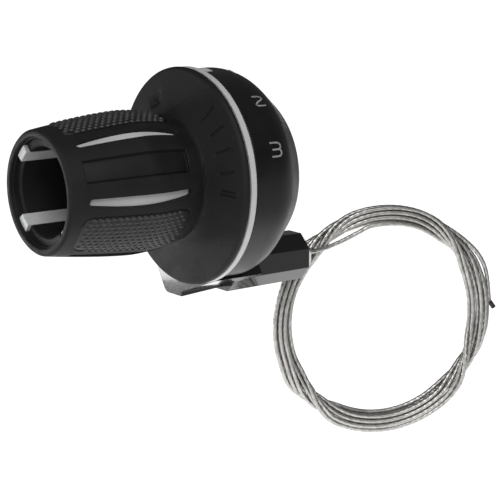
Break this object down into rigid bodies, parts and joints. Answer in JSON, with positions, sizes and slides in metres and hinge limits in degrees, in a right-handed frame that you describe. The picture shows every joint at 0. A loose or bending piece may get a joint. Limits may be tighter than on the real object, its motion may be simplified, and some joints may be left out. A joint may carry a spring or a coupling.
{
  "type": "bicycle twist-grip gear shifter",
  "caption": "Left-hand twist-grip gear shifter for a bicycle handlebar, with a ribbed rubber sleeve, numbered drum, cable nose and a coiled spare gear cable",
  "frame": {"origin": "middle of the housing's clamp bore, on the handlebar's axis", "axes": "X+ along the bar towards its middle, -Y towards the rider, Z+ up"},
  "size_m": [0.1467, 0.056, 0.1089],
  "materials": {
    "grip_rubber": "satin",
    "grey_plastic": "satin",
    "nylon": "satin",
    "head_alloy": "satin",
    "cable_steel": "brushed",
    "plated_steel": "satin",
    "drum_plastic": "satin",
    "spring_steel": "polished",
    "gloss_cover": "gloss",
    "seal_rubber": "matte",
    "tip_alloy": "satin"
  },
  "bodies": {
    "housing": {"retaining_ring": "plated_steel", "drum_housing": "drum_plastic", "thrust_washer": "nylon", "detent_spring": "spring_steel", "clamp_screw": "plated_steel", "clamp_nut": "plated_steel", "guide_cover": "gloss_cover", "cover_screws": "plated_steel", "guide_liner": "nylon", "inner_cable": "cable_steel", "nose_seal": "seal_rubber", "cable_lead": "cable_steel", "cable_coil": "cable_steel", "cable_tail": "cable_steel", "cable_tip": "tip_alloy"},
    "grip": {"rubber_cover": "grip_rubber", "grip_barrel": "grey_plastic", "cable_spool": "nylon", "cable_head": "head_alloy", "cable_wrap": "cable_steel"}
  },
  "joints": [
    {"name": "grip_twist", "type": "hinge", "parent": "housing", "child": "grip", "pos_m": [0, 0, 0], "axis": [1, 0, 0], "range_deg": [0, 60], "deforming": ["detent_spring"]}
  ]
}
